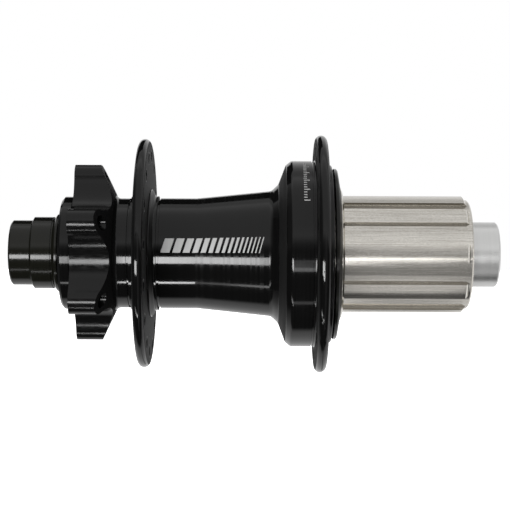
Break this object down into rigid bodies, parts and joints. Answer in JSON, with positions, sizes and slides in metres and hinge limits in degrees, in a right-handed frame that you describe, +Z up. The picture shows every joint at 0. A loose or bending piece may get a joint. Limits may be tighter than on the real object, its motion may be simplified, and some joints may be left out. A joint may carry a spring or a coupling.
{
  "type": "bicycle rear hub",
  "caption": "Flanged wheel hub with a disc rotor mount, a splined ratcheting cassette body and a hollow axle for a through pin.",
  "frame": {"origin": "on the axle line, halfway between the two dropout faces", "axes": "+X along the axle towards the drive side, +Z up, +Y forward"},
  "size_m": [0.142, 0.0694, 0.0694],
  "materials": {
    "gloss_black_anodised": "gloss black anodised, polished turned surface",
    "olive_black_anodised": "satin dark olive-black anodised",
    "silver_aluminium": "clear anodised, fine turned",
    "axle_aluminium": "satin",
    "freehub_steel": "machined, nickel plated",
    "hardened_steel": "hardened and ground",
    "bearing_steel": "ground and polished",
    "cage_steel": "pressed",
    "spring_steel": "blued",
    "seal_rubber": "matt"
  },
  "bodies": {
    "axle_group": {"axle_tube": "axle_aluminium", "left_end_cap": "olive_black_anodised", "right_end_cap": "silver_aluminium", "left_cap_o_ring": "seal_rubber", "right_cap_o_ring": "seal_rubber", "drive_side_spacer": "axle_aluminium", "freehub_bearing_spacer": "axle_aluminium", "left_shell_bearing_inner_race": "bearing_steel", "right_shell_bearing_inner_race": "bearing_steel", "inboard_freehub_bearing_inner_race": "bearing_steel", "outboard_freehub_bearing_inner_race": "bearing_steel"},
    "shell": {"hub_shell": "gloss_black_anodised", "ratchet_ring": "hardened_steel", "left_dust_seal": "seal_rubber", "left_shell_bearing_outer_race": "bearing_steel", "left_shell_bearing_seals": "seal_rubber", "right_shell_bearing_outer_race": "bearing_steel", "right_shell_bearing_seals": "seal_rubber"},
    "freehub": {"freehub_body": "freehub_steel", "freehub_shield": "olive_black_anodised", "freehub_lip_seal": "seal_rubber", "freehub_retaining_ring": "spring_steel", "inboard_freehub_bearing_outer_race": "bearing_steel", "inboard_freehub_bearing_seals": "seal_rubber", "outboard_freehub_bearing_outer_race": "bearing_steel", "outboard_freehub_bearing_seals": "seal_rubber", "pawl_spring_1": "spring_steel", "pawl_spring_2": "spring_steel", "pawl_spring_3": "spring_steel", "pawl_spring_4": "spring_steel", "pawl_spring_5": "spring_steel", "pawl_spring_6": "spring_steel"},
    "left_shell_balls": {"left_shell_bearing_balls": "bearing_steel", "left_shell_bearing_cage": "cage_steel"},
    "right_shell_balls": {"right_shell_bearing_balls": "bearing_steel", "right_shell_bearing_cage": "cage_steel"},
    "inboard_freehub_balls": {"inboard_freehub_bearing_balls": "bearing_steel", "inboard_freehub_bearing_cage": "cage_steel"},
    "outboard_freehub_balls": {"outboard_freehub_bearing_balls": "bearing_steel", "outboard_freehub_bearing_cage": "cage_steel"},
    "pawl_1": {"pawl_1": "hardened_steel"},
    "pawl_2": {"pawl_2": "hardened_steel"},
    "pawl_3": {"pawl_3": "hardened_steel"},
    "pawl_4": {"pawl_4": "hardened_steel"},
    "pawl_5": {"pawl_5": "hardened_steel"},
    "pawl_6": {"pawl_6": "hardened_steel"}
  },
  "joints": [
    {"name": "shell_spin", "type": "hinge", "parent": "axle_group", "child": "shell", "pos_m": [0, 0, 0], "axis": [1, 0, 0], "continuous": true},
    {"name": "freehub_spin", "type": "hinge", "parent": "axle_group", "child": "freehub", "pos_m": [0.03, 0, 0], "axis": [1, 0, 0], "continuous": true},
    {"name": "left_shell_balls_roll", "type": "hinge", "parent": "axle_group", "child": "left_shell_balls", "pos_m": [-0.0505, 0, 0], "axis": [1, 0, 0], "continuous": true},
    {"name": "right_shell_balls_roll", "type": "hinge", "parent": "axle_group", "child": "right_shell_balls", "pos_m": [0.002, 0, 0], "axis": [1, 0, 0], "continuous": true},
    {"name": "inboard_freehub_balls_roll", "type": "hinge", "parent": "axle_group", "child": "inboard_freehub_balls", "pos_m": [0.0145, 0, 0], "axis": [1, 0, 0], "continuous": true},
    {"name": "outboard_freehub_balls_roll", "type": "hinge", "parent": "axle_group", "child": "outboard_freehub_balls", "pos_m": [0.0494, 0, 0], "axis": [1, 0, 0], "continuous": true},
    {"name": "pawl_1_pivot", "type": "hinge", "parent": "freehub", "child": "pawl_1", "pos_m": [0.0148, 0, 0.016], "axis": [1, 0, 0], "range_deg": [0, 11], "stiffness_Nm_per_rad": 0.006, "springref_deg": 34.38, "deforming": ["pawl_spring_1"]},
    {"name": "pawl_2_pivot", "type": "hinge", "parent": "freehub", "child": "pawl_2", "pos_m": [0.0148, 0.01386, 0.008], "axis": [1, 0, 0], "range_deg": [0, 11], "stiffness_Nm_per_rad": 0.006, "springref_deg": 34.38, "deforming": ["pawl_spring_2"]},
    {"name": "pawl_3_pivot", "type": "hinge", "parent": "freehub", "child": "pawl_3", "pos_m": [0.0148, 0.01386, -0.008], "axis": [1, 0, 0], "range_deg": [0, 11], "stiffness_Nm_per_rad": 0.006, "springref_deg": 34.38, "deforming": ["pawl_spring_3"]},
    {"name": "pawl_4_pivot", "type": "hinge", "parent": "freehub", "child": "pawl_4", "pos_m": [0.0148, 0, -0.016], "axis": [1, 0, 0], "range_deg": [0, 11], "stiffness_Nm_per_rad": 0.006, "springref_deg": 34.38, "deforming": ["pawl_spring_4"]},
    {"name": "pawl_5_pivot", "type": "hinge", "parent": "freehub", "child": "pawl_5", "pos_m": [0.0148, -0.01386, -0.008], "axis": [1, 0, 0], "range_deg": [0, 11], "stiffness_Nm_per_rad": 0.006, "springref_deg": 34.38, "deforming": ["pawl_spring_5"]},
    {"name": "pawl_6_pivot", "type": "hinge", "parent": "freehub", "child": "pawl_6", "pos_m": [0.0148, -0.01386, 0.008], "axis": [1, 0, 0], "range_deg": [0, 11], "stiffness_Nm_per_rad": 0.006, "springref_deg": 34.38, "deforming": ["pawl_spring_6"]}
  ],
  "couplings": [
    {"joint": "left_shell_balls_roll", "follows": "shell_spin", "ratio": 0.58511},
    {"joint": "right_shell_balls_roll", "follows": "shell_spin", "ratio": 0.58511},
    {"joint": "inboard_freehub_balls_roll", "follows": "freehub_spin", "ratio": 0.55581},
    {"joint": "outboard_freehub_balls_roll", "follows": "freehub_spin", "ratio": 0.57111}
  ]
}
